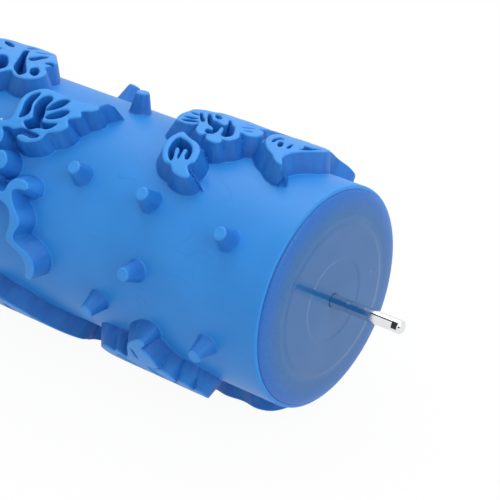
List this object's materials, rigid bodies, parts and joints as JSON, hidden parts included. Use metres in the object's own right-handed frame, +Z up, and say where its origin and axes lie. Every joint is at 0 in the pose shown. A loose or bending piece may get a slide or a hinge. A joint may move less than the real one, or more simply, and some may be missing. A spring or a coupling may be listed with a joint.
{
  "type": "pattern paint roller",
  "caption": "Rubber roller with a raised relief of flowers, leaves and pegs, closed by plastic end caps and turning freely on a slim steel pin that stands out at both ends.",
  "frame": {"origin": "the middle of the roller on its pin's axis", "axes": "+X along the pin, from the middle towards the end that the picture shows; +Z up as the roller lies; +Y completes the right-handed frame"},
  "size_m": [0.2134, 0.0596, 0.0596],
  "materials": {
    "sleeve_rubber": "satin moulded blue rubber",
    "cap_plastic": "blue plastic, glossy disc and finely grained shoulder",
    "core_plastic": "plain matte white plastic",
    "bearing_plastic": "smooth off-white bearing plastic",
    "pin_steel": "bright drawn steel",
    "clip_steel": "plain spring steel"
  },
  "bodies": {
    "pin": {"axle": "pin_steel", "thrust_washer_right": "clip_steel", "retaining_ring_right": "clip_steel", "thrust_washer_left": "clip_steel", "retaining_ring_left": "clip_steel"},
    "drum": {"pattern_sleeve": "sleeve_rubber", "core_tube": "core_plastic", "end_cap_right": "cap_plastic", "hub_right": "core_plastic", "bush_right": "bearing_plastic", "end_cap_left": "cap_plastic", "hub_left": "core_plastic", "bush_left": "bearing_plastic"}
  },
  "joints": [
    {"name": "roller_spin", "type": "hinge", "parent": "pin", "child": "drum", "pos_m": [0, 0, 0], "axis": [1, 0, 0], "continuous": true}
  ]
}
